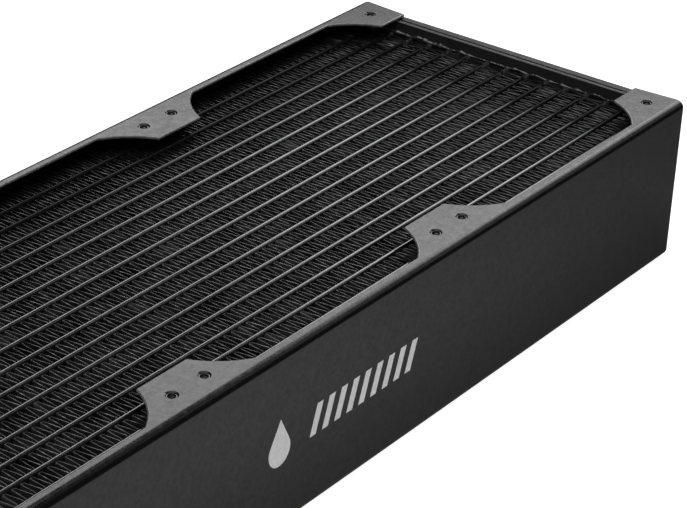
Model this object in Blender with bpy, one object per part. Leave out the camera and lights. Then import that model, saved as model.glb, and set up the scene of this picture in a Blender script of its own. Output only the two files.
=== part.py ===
"""Liquid cooling radiator for three 140 mm fans on each face, in metres, +Z up.

The long axis is X, with the return tank at +X and the port tank at -X. The fans screw to the
top and bottom flanges, and the origin is at the middle of the underside.
"""

import math

import bmesh
import bpy
from mathutils import Matrix, Vector

MM = 0.001
GAP = 0.3 * MM

# Overall size
LENGTH = 467 * MM
WIDTH = 145 * MM
THICKNESS = 64 * MM
MID_Z = THICKNESS / 2

# Fan screw pattern
FAN_PITCH = 140 * MM
FAN_HOLE_SPACING = 124.5 * MM
BAY_COUNT = 3
HOLE_SPAN = (BAY_COUNT - 1) * FAN_PITCH + FAN_HOLE_SPACING
HOLE_TO_PANEL_END = 10.3 * MM
PATTERN_MID_X = LENGTH / 2 - HOLE_TO_PANEL_END - HOLE_SPAN / 2
PANEL_END = HOLE_SPAN / 2 + HOLE_TO_PANEL_END
SCREW_RADIUS = 1.7 * MM
COUNTERSINK_RADIUS = 2.45 * MM
COUNTERSINK_DEPTH = 0.55 * MM

# Folded side panels
SHEET = 1.2 * MM
BEND_RADIUS = 2.8 * MM
FLANGE_WIDTH = 4.75 * MM
TAB_DEPTH = 20.5 * MM
TAB_TIP_PAST_HOLE = 4.2 * MM
TAB_ARC_RUN = 15.2 * MM
TAB_ARC_BULGE = 1.9 * MM
CORNER_TIP_PAST_HOLE = 7.0 * MM
CORNER_ARC_RUN = 14 * MM
END_SLANT = 1.4 * MM

# Core of flat tubes and fins
TUBE_COUNT = 15
TUBE_PITCH = 8.85 * MM
TUBE_THICKNESS = 2.0 * MM
TUBE_WALL = 0.3 * MM
TUBE_PAST_HEADER = 0.8 * MM
CORE_RECESS = 5.5 * MM
ROW_SPACING = 1.6 * MM
ROW_DEPTH = (THICKNESS - 2 * CORE_RECESS - ROW_SPACING) / 2
FIN_FOIL = 0.3 * MM
FIN_FOLDS = 36
FIN_BELOW_TUBES = 0.4 * MM

# Header plates
HEADER_TO_PANEL_END = 6.6 * MM
HEADER_THICKNESS = 1.9 * MM
HEADER_HALF_HEIGHT = MID_Z - SHEET - GAP
HEADER_CORNER = 2.3 * MM
INNER_HALF_WIDTH = WIDTH / 2 - SHEET - GAP
SLOT_CLEARANCE = GAP

# Return tank, a shallow pan
RETURN_RIM_DEPTH = 0.4 * MM
RETURN_RIM_INSET = 1.3 * MM
RETURN_DEPTH = 4.3 * MM
RETURN_WALL = 0.9 * MM
RETURN_CORNER = 3 * MM
RETURN_RIM_CORNER = 2 * MM
RETURN_INNER_CORNER = 1.5 * MM
RETURN_EDGE = 0.8 * MM

# Port tank, a deep pan
PORT_TANK_DEPTH = 42.7 * MM
PORT_TANK_HALF_WIDTH = 69.5 * MM
PORT_TANK_HALF_HEIGHT = 28.6 * MM
PORT_TANK_WALL = 1.5 * MM
PORT_TANK_CORNER = 9 * MM
PORT_TANK_EDGE = 5 * MM
PORT_RIM = 1.2 * MM
DIVIDER_THICKNESS = 1.2 * MM

# Ports for G1/4 fittings
PORT_SPREAD = 36 * MM
PORT_FROM_HEADER = 22 * MM
PORT_BORE_RADIUS = 5.9 * MM
BUSH_RADIUS = 9.3 * MM
BUSH_LENGTH = 9.6 * MM
BUSH_LIP_RADIUS = 10.8 * MM
SEAT_RADIUS = 8.0 * MM
SEAT_DEPTH = 2.0 * MM
TOP_LIP = 1.3 * MM
END_LIP = 0.9 * MM
PLUG_HEAD_RADIUS = 9.5 * MM
PLUG_HEAD_THICKNESS = 2.1 * MM
PLUG_SHANK_RADIUS = 5.6 * MM
PLUG_SHANK_LENGTH = 8 * MM
PLUG_CHAMFER = 0.6 * MM
HEX_KEY = 6 * MM
HEX_DEPTH = 4.5 * MM
RING_RADIUS = 6.75 * MM
RING_SECTION = 0.8 * MM

RETURN_HEADER_X = PATTERN_MID_X + PANEL_END - HEADER_TO_PANEL_END
PORT_HEADER_X = PATTERN_MID_X - PANEL_END + HEADER_TO_PANEL_END
PORT_TANK_X = PORT_HEADER_X - HEADER_THICKNESS - GAP
PORT_TANK_END_X = PORT_TANK_X - PORT_TANK_DEPTH

CUT_MARGIN = 1 * MM
TURNED_STEPS = 24
HOLE_STEPS = 12
MERGE_DISTANCE = 1e-7


def clear_scene():
    for old in list(bpy.data.objects):
        bpy.data.objects.remove(old, do_unlink=True)


def make_material(name, color, roughness, metallic):
    material = bpy.data.materials.new(name)
    material.use_nodes = True
    shader = material.node_tree.nodes["Principled BSDF"]
    shader.inputs["Base Color"].default_value = (*color, 1)
    shader.inputs["Roughness"].default_value = roughness
    shader.inputs["Metallic"].default_value = metallic
    return material


def add_object(name, bm, material=None):
    """An object from a bmesh whose faces are turned outwards."""
    bmesh.ops.recalc_face_normals(bm, faces=bm.faces)
    mesh = bpy.data.meshes.new(name)
    bm.to_mesh(mesh)
    bm.free()
    mesh.shade_smooth()
    mesh.set_sharp_from_angle(angle=math.radians(30))
    if material:
        mesh.materials.append(material)
    obj = bpy.data.objects.new(name, mesh)
    bpy.context.collection.objects.link(obj)
    return obj


def add_cutter(name, bm):
    cutter = add_object(name, bm)
    cutter.hide_render = True
    cutter.display_type = "WIRE"
    return cutter


def subtract(obj, cutter):
    cut = obj.modifiers.new(cutter.name, "BOOLEAN")
    cut.operation = "DIFFERENCE"
    cut.object = cutter


def extrude_outline(bm, points, offset):
    """A prism from a closed outline of points, pushed along the offset."""
    base = bm.faces.new([bm.verts.new(point) for point in points])
    pushed = bmesh.ops.extrude_face_region(bm, geom=[base], use_keep_orig=True)
    moved = [item for item in pushed["geom"] if isinstance(item, bmesh.types.BMVert)]
    bmesh.ops.translate(bm, verts=moved, vec=offset)


def arc_points(center, radius, start, end, steps):
    """Points in a plane along an arc, with its angles in degrees."""
    angles = [math.radians(start + (end - start) * i / steps) for i in range(steps + 1)]
    return [(center[0] + radius * math.cos(a), center[1] + radius * math.sin(a)) for a in angles]


def turn_profile(bm, profile, closed=True):
    """A solid of revolution about Z from (radius, height) points.

    A profile that isn't closed starts and ends on the axis.
    """
    verts = [bm.verts.new((radius, 0, height)) for radius, height in profile]
    edges = [bm.edges.new(pair) for pair in zip(verts, verts[1:])]
    if closed:
        edges.append(bm.edges.new((verts[-1], verts[0])))
    bmesh.ops.spin(
        bm, geom=verts + edges, axis=(0, 0, 1), cent=(0, 0, 0), angle=2 * math.pi, steps=TURNED_STEPS
    )
    bmesh.ops.remove_doubles(bm, verts=bm.verts, dist=MERGE_DISTANCE)


def rounded_ring(x, half_y, half_z, radius, steps=3):
    """Points of a rounded rectangle across X, centred on the middle of the thickness."""
    corners = [(1, 1, 0), (-1, 1, 90), (-1, -1, 180), (1, -1, 270)]
    ring = []
    for side_y, side_z, start in corners:
        center = (side_y * (half_y - radius), side_z * (half_z - radius))
        for y, z in arc_points(center, radius, start, start + 90, steps):
            ring.append(Vector((x, y, MID_Z + z)))
    return ring


def add_skin(bm, rings):
    """A closed solid over rings of points, with a flat face on the first and the last."""
    loops = [[bm.verts.new(point) for point in ring] for ring in rings]
    for low, high in zip(loops, loops[1:]):
        for i in range(len(low)):
            bm.faces.new((low[i - 1], low[i], high[i], high[i - 1]))
    bm.faces.new(loops[0])
    bm.faces.new(loops[-1])


def loft(name, rings, material):
    bm = bmesh.new()
    add_skin(bm, rings)
    return add_object(name, bm, material)


# Side panels


def hole_positions_x():
    for bay in range(BAY_COUNT):
        middle = PATTERN_MID_X + (bay - (BAY_COUNT - 1) / 2) * FAN_PITCH
        yield middle - FAN_HOLE_SPACING / 2
        yield middle + FAN_HOLE_SPACING / 2


def tab_flank(tip_x, direction, run, steps=5):
    """Plan points of a tab's curved flank, from its tip at x to the flange edge.

    Points are (x, distance in from the side face). The flank is an arc that bows into the tab.
    """
    tip = Vector((tip_x, TAB_DEPTH))
    root = Vector((tip_x + direction * run, FLANGE_WIDTH))
    chord = root - tip
    inward = Vector((-direction * abs(chord.y), -abs(chord.x))).normalized()
    points = []
    for i in range(steps + 1):
        along = i / steps
        bow = 4 * along * (1 - along) * TAB_ARC_BULGE
        points.append(tip + chord * along + inward * bow)
    return points


def window_outlines():
    """Plan outlines that are cut from the flanges between one tab and the next."""
    holes = list(hole_positions_x())
    corner = (CORNER_TIP_PAST_HOLE, CORNER_ARC_RUN)
    between = (TAB_TIP_PAST_HOLE, TAB_ARC_RUN)
    for bay in range(BAY_COUNT):
        low_past, low_run = corner if bay == 0 else between
        high_past, high_run = corner if bay == BAY_COUNT - 1 else between
        low_flank = tab_flank(holes[2 * bay] + low_past, 1, low_run)
        high_flank = tab_flank(holes[2 * bay + 1] - high_past, -1, high_run)
        clear = TAB_DEPTH + CUT_MARGIN
        mouth = [Vector((high_flank[0].x, clear)), Vector((low_flank[0].x, clear))]
        yield low_flank + high_flank[::-1] + mouth


def end_outlines():
    """Plan outlines of the thin wedges that slant the ends of the corner tabs."""
    for end in (-1, 1):
        end_x = PATTERN_MID_X + end * PANEL_END
        slant_per_depth = END_SLANT / (TAB_DEPTH - BEND_RADIUS)
        clear = TAB_DEPTH + CUT_MARGIN
        inner_x = end_x - end * slant_per_depth * (clear - BEND_RADIUS)
        beyond_x = end_x + end * CUT_MARGIN
        yield [
            Vector((end_x, BEND_RADIUS)),
            Vector((inner_x, clear)),
            Vector((beyond_x, clear)),
            Vector((beyond_x, BEND_RADIUS)),
        ]


def channel_profile():
    """The folded sheet's section as (distance in from the side face, height)."""
    inner = BEND_RADIUS - SHEET
    low = (BEND_RADIUS, BEND_RADIUS)
    high = (BEND_RADIUS, THICKNESS - BEND_RADIUS)
    outside = arc_points(high, BEND_RADIUS, 90, 180, 4) + arc_points(low, BEND_RADIUS, 180, 270, 4)
    inside = arc_points(low, inner, 270, 180, 4) + arc_points(high, inner, 180, 90, 4)
    top = [(TAB_DEPTH, THICKNESS - SHEET), (TAB_DEPTH, THICKNESS)]
    bottom = [(TAB_DEPTH, 0), (TAB_DEPTH, SHEET)]
    return top + outside + bottom + inside


def side_panel(name, side, material):
    """A channel with scalloped flanges. The side is -1 at the front and 1 at the back."""

    def world_y(inset):
        return side * (WIDTH / 2 - inset)

    bm = bmesh.new()
    low_x = PATTERN_MID_X - PANEL_END
    section = [(low_x, world_y(inset), height) for inset, height in channel_profile()]
    extrude_outline(bm, section, (2 * PANEL_END, 0, 0))
    panel = add_object(name, bm, material)

    bm = bmesh.new()
    for outline in list(window_outlines()) + list(end_outlines()):
        floor = [(point.x, world_y(point.y), -CUT_MARGIN) for point in outline]
        extrude_outline(bm, floor, (0, 0, THICKNESS + 2 * CUT_MARGIN))
    subtract(panel, add_cutter(name + "_windows", bm))

    bm = bmesh.new()
    for x in hole_positions_x():
        add_skin(bm, drill_rings(x, side * FAN_HOLE_SPACING / 2))
    subtract(panel, add_cutter(name + "_screw_holes", bm))
    return panel


def drill_rings(x, y):
    """Rings of a drill through both flanges, with a countersink at each face."""
    stations = [
        (COUNTERSINK_RADIUS, -CUT_MARGIN),
        (COUNTERSINK_RADIUS, 0),
        (SCREW_RADIUS, COUNTERSINK_DEPTH),
        (SCREW_RADIUS, THICKNESS - COUNTERSINK_DEPTH),
        (COUNTERSINK_RADIUS, THICKNESS),
        (COUNTERSINK_RADIUS, THICKNESS + CUT_MARGIN),
    ]
    rings = []
    for radius, z in stations:
        circle = arc_points((x, y), radius, 0, 360 - 360 / HOLE_STEPS, HOLE_STEPS - 1)
        rings.append([(px, py, z) for px, py in circle])
    return rings


# Core


def stadium(half_y, half_z, steps=3):
    """The (y, z) points of an upright slot shape whose ends are half circles."""
    straight = half_z - half_y
    return (
        arc_points((0, straight), half_y, 0, 180, steps)
        + arc_points((0, -straight), half_y, 180, 360, steps)
    )


def tube_centers_y():
    return [(i - (TUBE_COUNT - 1) / 2) * TUBE_PITCH for i in range(TUBE_COUNT)]


def row_centers_z():
    offset = (ROW_DEPTH + ROW_SPACING) / 2
    return {"lower": MID_Z - offset, "upper": MID_Z + offset}


def tube_mesh_object(name, y, z, material):
    """A flat tube, open at both ends, that passes through both header plates."""
    low_x = PORT_HEADER_X - HEADER_THICKNESS - TUBE_PAST_HEADER
    high_x = RETURN_HEADER_X + HEADER_THICKNESS + TUBE_PAST_HEADER
    outer = stadium(TUBE_THICKNESS / 2, ROW_DEPTH / 2)
    inner = stadium(TUBE_THICKNESS / 2 - TUBE_WALL, ROW_DEPTH / 2 - TUBE_WALL)
    bm = bmesh.new()
    loops = []
    for x, outline in ((low_x, outer), (high_x, outer), (high_x, inner), (low_x, inner)):
        loops.append([bm.verts.new((x, y + dy, z + dz)) for dy, dz in outline])
    for near, far in zip(loops, loops[1:] + loops[:1]):
        for i in range(len(outer)):
            bm.faces.new((near[i - 1], near[i], far[i], far[i - 1]))
    return add_object(name, bm, material)


def fin_strip(name, low_y, high_y, material):
    """A zigzag strip of foil that runs the whole depth of the core between two tubes."""
    low_x = PORT_HEADER_X + GAP
    step_x = (RETURN_HEADER_X - GAP - low_x) / FIN_FOLDS
    rise = high_y - low_y
    half_foil = FIN_FOIL / 2 * math.hypot(step_x, rise) / step_x
    crest = [high_y - half_foil, low_y + half_foil]
    middle = [(low_x + i * step_x, crest[i % 2]) for i in range(FIN_FOLDS + 1)]
    near_side = [(x, y - half_foil) for x, y in middle]
    far_side = [(x, y + half_foil) for x, y in middle]
    low_z = CORE_RECESS + FIN_BELOW_TUBES
    high_z = THICKNESS - low_z
    bm = bmesh.new()
    rows = []
    for side, z in ((near_side, low_z), (near_side, high_z), (far_side, high_z), (far_side, low_z)):
        rows.append([bm.verts.new((x, y, z)) for x, y in side])
    for row, following in zip(rows, rows[1:] + rows[:1]):
        for i in range(FIN_FOLDS):
            bm.faces.new((row[i], row[i + 1], following[i + 1], following[i]))
    for end in (0, -1):
        bm.faces.new([row[end] for row in rows])
    return add_object(name, bm, material)


def build_core(tube_material, fin_material):
    for row, z in row_centers_z().items():
        for i, y in enumerate(tube_centers_y(), start=1):
            tube_mesh_object(f"flat_tube_{row}_{i:02d}", y, z, tube_material)
    walls = [y + TUBE_THICKNESS / 2 for y in tube_centers_y()]
    low_edges = [-INNER_HALF_WIDTH] + [wall + GAP for wall in walls]
    high_edges = [wall - TUBE_THICKNESS - GAP for wall in walls] + [INNER_HALF_WIDTH]
    for i, (low_y, high_y) in enumerate(zip(low_edges, high_edges), start=1):
        fin_strip(f"fin_strip_{i:02d}", low_y, high_y, fin_material)


def header_plate(name, inner_x, direction, material):
    """A plate with a slot for each tube. The direction is that of its tank."""
    outer_x = inner_x + direction * HEADER_THICKNESS
    size = (INNER_HALF_WIDTH, HEADER_HALF_HEIGHT, HEADER_CORNER)
    rings = [rounded_ring(x, *size) for x in (inner_x, outer_x)]
    plate = loft(name, rings, material)
    bm = bmesh.new()
    slot = stadium(TUBE_THICKNESS / 2 + SLOT_CLEARANCE, ROW_DEPTH / 2 + SLOT_CLEARANCE)
    start_x = inner_x - direction * CUT_MARGIN
    reach = direction * (HEADER_THICKNESS + 2 * CUT_MARGIN)
    for z in row_centers_z().values():
        for y in tube_centers_y():
            outline = [(start_x, y + dy, z + dz) for dy, dz in slot]
            extrude_outline(bm, outline, (reach, 0, 0))
    subtract(plate, add_cutter(name + "_slots", bm))
    return plate


# Tanks


def domed_rings(end_x, direction, half_y, half_z, corner, edge, steps=4):
    """Rings of a pan's closed end, from its flat face out and back along the rounded edge."""
    rings = []
    for i in range(steps + 1):
        angle = math.radians(90 * i / steps)
        inset = edge * (1 - math.sin(angle))
        x = end_x - direction * edge * (1 - math.cos(angle))
        rings.append(rounded_ring(x, half_y - inset, half_z - inset, corner - inset))
    return rings


def return_tank(material):
    rim_x = RETURN_HEADER_X + HEADER_THICKNESS + GAP
    body_x = rim_x + RETURN_RIM_DEPTH
    end_x = rim_x + RETURN_DEPTH
    body = (INNER_HALF_WIDTH, HEADER_HALF_HEIGHT, RETURN_CORNER)
    rim = (body[0] - RETURN_RIM_INSET, body[1] - RETURN_RIM_INSET, RETURN_RIM_CORNER)
    hollow = (rim[0] - RETURN_WALL, rim[1] - RETURN_WALL, RETURN_INNER_CORNER)
    rings = domed_rings(end_x, 1, *body, RETURN_EDGE) + [
        rounded_ring(body_x, *body),
        rounded_ring(body_x, *rim),
        rounded_ring(rim_x, *rim),
        rounded_ring(rim_x, *hollow),
        rounded_ring(end_x - RETURN_WALL, *hollow),
    ]
    return loft("return_tank", rings, material)


def port_positions():
    """Each port's name, the middle of its bush's mouth, the way that faces, and its lip."""
    top = MID_Z + PORT_TANK_HALF_HEIGHT + GAP + TOP_LIP
    port_x = PORT_TANK_X - PORT_FROM_HEADER
    mouth_x = PORT_TANK_END_X - GAP - END_LIP
    up = Vector((0, 0, 1))
    out = Vector((-1, 0, 0))
    return {
        "inlet": (Vector((port_x, -PORT_SPREAD, top)), up, TOP_LIP),
        "outlet": (Vector((port_x, PORT_SPREAD, top)), up, TOP_LIP),
        "drain": (Vector((mouth_x, -PORT_SPREAD, MID_Z)), out, END_LIP),
    }


def aim(obj, place, direction):
    """Moves the object to its place, with its own Z along the direction."""
    turn = direction.to_track_quat("Z", "Y")
    obj.rotation_mode = "QUATERNION"
    obj.rotation_quaternion = turn
    obj.location = place


def port_tank(material):
    wall = PORT_TANK_WALL
    body = (PORT_TANK_HALF_WIDTH, PORT_TANK_HALF_HEIGHT, PORT_TANK_CORNER)
    rim = (INNER_HALF_WIDTH, HEADER_HALF_HEIGHT, PORT_TANK_CORNER)
    hollow = tuple(size - wall for size in body)
    rim_end_x = PORT_TANK_X - PORT_RIM
    outside = domed_rings(PORT_TANK_END_X, -1, *body, PORT_TANK_EDGE) + [
        rounded_ring(rim_end_x, *body),
        rounded_ring(rim_end_x, *rim),
        rounded_ring(PORT_TANK_X, *rim),
        rounded_ring(PORT_TANK_X, *hollow),
    ]
    inside = domed_rings(PORT_TANK_END_X + wall, -1, *hollow, PORT_TANK_EDGE - wall)
    tank = loft("port_tank", outside + inside[::-1], material)
    bm = bmesh.new()
    for place, direction, _ in port_positions().values():
        turn = direction.to_track_quat("Z", "Y").to_matrix().to_4x4()
        bmesh.ops.create_cone(
            bm,
            cap_ends=True,
            segments=TURNED_STEPS,
            radius1=BUSH_RADIUS + GAP,
            radius2=BUSH_RADIUS + GAP,
            depth=2 * BUSH_LENGTH,
            matrix=Matrix.Translation(place) @ turn,
        )
    subtract(tank, add_cutter("port_tank_holes", bm))
    return tank


def tank_divider(material):
    """The plate that keeps the inlet half of the port tank apart from the outlet half."""
    low_x = PORT_TANK_END_X + PORT_TANK_WALL + GAP
    high_x = PORT_TANK_X
    half_z = PORT_TANK_HALF_HEIGHT - PORT_TANK_WALL - GAP
    corner = PORT_TANK_EDGE
    high_corner = (low_x + corner, MID_Z + half_z - corner)
    low_corner = (low_x + corner, MID_Z - half_z + corner)
    outline = arc_points(high_corner, corner, 90, 180, 4)
    outline += arc_points(low_corner, corner, 180, 270, 4)
    outline += [(high_x, MID_Z - half_z), (high_x, MID_Z + half_z)]
    low_y = TUBE_PITCH / 2 - DIVIDER_THICKNESS / 2
    bm = bmesh.new()
    extrude_outline(bm, [(x, low_y, z) for x, z in outline], (0, DIVIDER_THICKNESS, 0))
    return add_object("tank_divider", bm, material)


# Ports and the drain plug


def port_bush(name, place, direction, lip, material):
    """A threaded bush with a lip on the tank's skin and a seat for a sealing ring."""
    profile = [
        (PORT_BORE_RADIUS, -BUSH_LENGTH),
        (BUSH_RADIUS, -BUSH_LENGTH),
        (BUSH_RADIUS, -lip),
        (BUSH_LIP_RADIUS, -lip),
        (BUSH_LIP_RADIUS, 0),
        (SEAT_RADIUS, 0),
        (SEAT_RADIUS, -SEAT_DEPTH),
        (PORT_BORE_RADIUS, -SEAT_DEPTH),
    ]
    bm = bmesh.new()
    turn_profile(bm, profile)
    bush = add_object(name, bm, material)
    aim(bush, place, direction)
    return bush


def drain_plug(place, direction, material):
    head_top = GAP + PLUG_HEAD_THICKNESS
    profile = [
        (0, -PLUG_SHANK_LENGTH),
        (PLUG_SHANK_RADIUS - PLUG_CHAMFER, -PLUG_SHANK_LENGTH),
        (PLUG_SHANK_RADIUS, -PLUG_SHANK_LENGTH + PLUG_CHAMFER),
        (PLUG_SHANK_RADIUS, GAP),
        (PLUG_HEAD_RADIUS, GAP),
        (PLUG_HEAD_RADIUS, head_top - PLUG_CHAMFER),
        (PLUG_HEAD_RADIUS - PLUG_CHAMFER, head_top),
        (0, head_top),
    ]
    bm = bmesh.new()
    turn_profile(bm, profile, closed=False)
    plug = add_object("drain_plug", bm, material)

    bm = bmesh.new()
    bmesh.ops.create_cone(
        bm,
        cap_ends=True,
        segments=6,
        radius1=HEX_KEY / math.sqrt(3),
        radius2=HEX_KEY / math.sqrt(3),
        depth=2 * HEX_DEPTH,
        matrix=Matrix.Translation((0, 0, head_top)),
    )
    socket = add_cutter("drain_plug_socket", bm)
    for obj in (plug, socket):
        aim(obj, place, direction)
    subtract(plug, socket)
    return plug


def drain_plug_ring(place, direction, material):
    circle = arc_points((RING_RADIUS, -SEAT_DEPTH / 2), RING_SECTION, 0, 315, 7)
    bm = bmesh.new()
    turn_profile(bm, circle)
    ring = add_object("drain_plug_o_ring", bm, material)
    aim(ring, place, direction)
    return ring


def main():
    clear_scene()
    paint = make_material("black_paint", (0.018, 0.018, 0.019), 0.42, 0.0)
    core_paint = make_material("core_paint", (0.012, 0.012, 0.013), 0.38, 0.0)
    fin_paint = make_material("fin_paint", (0.014, 0.014, 0.015), 0.5, 0.0)
    brass = make_material("port_brass", (0.62, 0.47, 0.22), 0.3, 1.0)
    plug_metal = make_material("plug_metal", (0.03, 0.03, 0.032), 0.3, 0.6)
    rubber = make_material("seal_rubber", (0.015, 0.015, 0.015), 0.7, 0.0)

    side_panel("side_panel_front", -1, paint)
    side_panel("side_panel_back", 1, paint)
    header_plate("header_plate_return", RETURN_HEADER_X, 1, paint)
    header_plate("header_plate_port", PORT_HEADER_X, -1, paint)
    build_core(core_paint, fin_paint)
    return_tank(paint)
    port_tank(paint)
    tank_divider(paint)
    for name, (place, direction, lip) in port_positions().items():
        port_bush(f"{name}_port_bush", place, direction, lip, brass)
    place, direction, _ = port_positions()["drain"]
    drain_plug(place, direction, plug_metal)
    drain_plug_ring(place, direction, rubber)


main()
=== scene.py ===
"""The finished look of a liquid cooling radiator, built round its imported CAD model.

Everything is in metres in the CAD's own frame: X along the length with the return tank at +X,
-Y the side with the printed device, +Z up, and the object standing on z = 0.
"""

import math
import random

import bmesh
import bpy
from mathutils import Matrix, Vector


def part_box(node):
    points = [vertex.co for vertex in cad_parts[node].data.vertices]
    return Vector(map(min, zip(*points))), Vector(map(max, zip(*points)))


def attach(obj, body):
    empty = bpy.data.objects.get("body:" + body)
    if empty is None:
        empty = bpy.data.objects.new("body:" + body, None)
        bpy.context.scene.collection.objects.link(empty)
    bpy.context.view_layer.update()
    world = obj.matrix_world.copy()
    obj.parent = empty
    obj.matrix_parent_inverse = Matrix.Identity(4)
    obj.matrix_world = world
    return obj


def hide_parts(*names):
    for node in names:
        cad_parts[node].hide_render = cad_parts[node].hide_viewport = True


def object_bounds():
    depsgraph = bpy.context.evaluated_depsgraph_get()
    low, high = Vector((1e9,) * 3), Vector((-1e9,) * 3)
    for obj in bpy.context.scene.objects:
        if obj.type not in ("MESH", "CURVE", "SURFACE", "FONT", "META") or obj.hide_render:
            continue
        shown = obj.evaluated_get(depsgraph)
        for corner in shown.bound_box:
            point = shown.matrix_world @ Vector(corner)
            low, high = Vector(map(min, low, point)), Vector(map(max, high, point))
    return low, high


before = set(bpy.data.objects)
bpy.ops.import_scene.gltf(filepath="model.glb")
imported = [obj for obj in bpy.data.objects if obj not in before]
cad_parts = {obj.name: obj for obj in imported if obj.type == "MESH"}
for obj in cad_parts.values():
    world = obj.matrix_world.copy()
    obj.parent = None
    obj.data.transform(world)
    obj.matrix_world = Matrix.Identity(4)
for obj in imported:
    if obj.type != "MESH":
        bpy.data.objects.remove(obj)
cad_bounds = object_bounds()

MM = 0.001
BODY = "radiator"
CAD_LOW, CAD_HIGH = cad_bounds

# Fan screw pattern
FAN_PITCH = 140 * MM
FAN_HOLE_SPACING = 124.5 * MM
BAY_COUNT = 3

# Folded side panels
SHEET = 1.2 * MM
BEND_RADIUS = 2.8 * MM
FLANGE_WIDTH = 4.75 * MM
TAB_DEPTH = 20.5 * MM
TAB_TIP_PAST_HOLE = 4.2 * MM
TAB_ARC_RUN = 15.2 * MM
TAB_ARC_BULGE = 1.9 * MM
CORNER_TIP_PAST_HOLE = 7.0 * MM
CORNER_ARC_RUN = 14 * MM
END_SLANT = 1.4 * MM
EDGE_ROUND = 0.57 * MM
SCREW_RADIUS = 1.6 * MM
HOLE_MOUTH_RADIUS = 2.45 * MM
HOLE_ROLL = 0.9 * MM
HOLE_ROLL_ANGLE = 52
SCREW_PITCH = 0.5 * MM
COLLAR_DEPTH = 2.4 * MM

# Core
TUBE_EDGE = 0.94 * MM
TUBE_CREST_RISE = 1.5
TUBE_WALL = 0.3 * MM
FIN_PERIOD = 3.8 * MM
FIN_FOIL = 0.33 * MM
FIN_BELOW_TUBES = 0.15 * MM
FIN_CREST = 1.15 * MM
FIN_SINK = 0.95 * MM
FIN_SINK_REACH = 0.8 * MM
FIN_BEND = 0.25 * MM
FIN_LIP = 1.6 * MM
FIN_TIP = 0.5 * MM

# Ports and the drain plug
BUSH_BORE_RADIUS = 5.9 * MM
BUSH_SEAT_RADIUS = 8.0 * MM
BUSH_SEAT_DEPTH = 2.0 * MM
BUSH_BARREL_INSET = 1.5 * MM
THREAD_PITCH = 1.337 * MM
THREAD_DEPTH = 0.75 * MM
TURNED_STEPS = 72

# The table top, and the shade that lies under it for the object's own reflections
TABLE_Z = -0.2 * MM
TABLE_REACH = 6
SHADE_Z = -0.4 * MM
SHADE_FRINGE = 45 * MM
SHADE_DARKNESS = 0.6

SEED = 11


# Meshes


def skin(rings, wrap=False):
    """Points and faces of a surface through rings of equal length, capped unless it wraps."""
    count = len(rings[0])
    points = [point for ring in rings for point in ring]
    faces = []
    last = len(rings) if wrap else len(rings) - 1
    for r in range(last):
        low = r * count
        high = (r + 1) % len(rings) * count
        for i in range(count):
            before = (i - 1) % count
            faces.append((low + before, low + i, high + i, high + before))
    if not wrap:
        faces.append(tuple(range(count)))
        faces.append(tuple(reversed(range(len(points) - count, len(points)))))
    return points, faces


def solid(name, shapes, sharp=35, merge=0):
    """One mesh from (points, faces) shapes, with its faces turned outwards and smooth shading."""
    bm = bmesh.new()
    for points, faces in shapes:
        verts = [bm.verts.new(point) for point in points]
        for face in faces:
            bm.faces.new([verts[i] for i in face])
    if merge:
        bmesh.ops.remove_doubles(bm, verts=bm.verts, dist=merge)
    bmesh.ops.recalc_face_normals(bm, faces=bm.faces)
    mesh = bpy.data.meshes.new(name)
    bm.to_mesh(mesh)
    bm.free()
    mesh.shade_smooth()
    mesh.set_sharp_from_angle(angle=math.radians(sharp))
    return mesh


def placed(shape, place, turn):
    """A shape turned and moved to its place."""
    matrix = Matrix.Translation(place) @ turn.to_matrix().to_4x4()
    points, faces = shape
    return [matrix @ Vector(point) for point in points], faces


def halves(node):
    """The middle of a node's box, and half its size each way."""
    low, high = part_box(node)
    middle = [(a + b) / 2 for a, b in zip(low, high)]
    half = [(b - a) / 2 for a, b in zip(low, high)]
    return middle, half


def link(name, data):
    obj = bpy.data.objects.new(name, data)
    bpy.context.scene.collection.objects.link(obj)
    return obj


def cut(obj, cutters):
    """Subtracts each cutter mesh from the object, for good."""
    made = []
    for mesh in cutters:
        cutter = link(mesh.name, mesh)
        modifier = obj.modifiers.new(mesh.name, "BOOLEAN")
        modifier.operation = "DIFFERENCE"
        modifier.solver = "EXACT"
        modifier.object = cutter
        made.append(cutter)
    bake_modifiers(obj)
    for cutter in made:
        bpy.data.objects.remove(cutter, do_unlink=True)


def bake_modifiers(obj):
    bpy.context.view_layer.update()
    graph = bpy.context.evaluated_depsgraph_get()
    mesh = bpy.data.meshes.new_from_object(obj.evaluated_get(graph))
    obj.modifiers.clear()
    obj.data = mesh


def round_edges(obj, width, segments=3, mark=False):
    """Rounds the sharp edges and keeps the flat faces flat.

    With a mark, the new faces carry the value 1 in a face attribute called edge.
    """
    bevel = obj.modifiers.new("edges", "BEVEL")
    bevel.width = width
    bevel.segments = segments
    bevel.limit_method = "ANGLE"
    bevel.angle_limit = math.radians(40)
    bevel.harden_normals = True
    if mark:
        while len(obj.data.materials) < 2:
            obj.data.materials.append(bpy.data.materials.new("unused"))
        bevel.material = 1
    bake_modifiers(obj)
    if mark:
        rounded = [float(face.material_index == 1) for face in obj.data.polygons]
        obj.data.attributes.new("edge", "FLOAT", "FACE").data.foreach_set("value", rounded)
        obj.data.polygons.foreach_set("material_index", [0] * len(rounded))


def flatten_shading(obj):
    """Keeps the shading of the large faces flat next to the small ones that round their edges."""
    obj.data.shade_smooth()
    obj.data.set_sharp_from_angle(angle=math.radians(35))
    weigh = obj.modifiers.new("shading", "WEIGHTED_NORMAL")
    weigh.keep_sharp = True
    weigh.weight = 100
    bake_modifiers(obj)


def finish_piece(obj, material, body=BODY, stands_for=()):
    obj.data.materials.clear()
    obj.data.materials.append(material)
    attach(obj, body)
    if stands_for:
        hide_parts(*stands_for)


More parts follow.
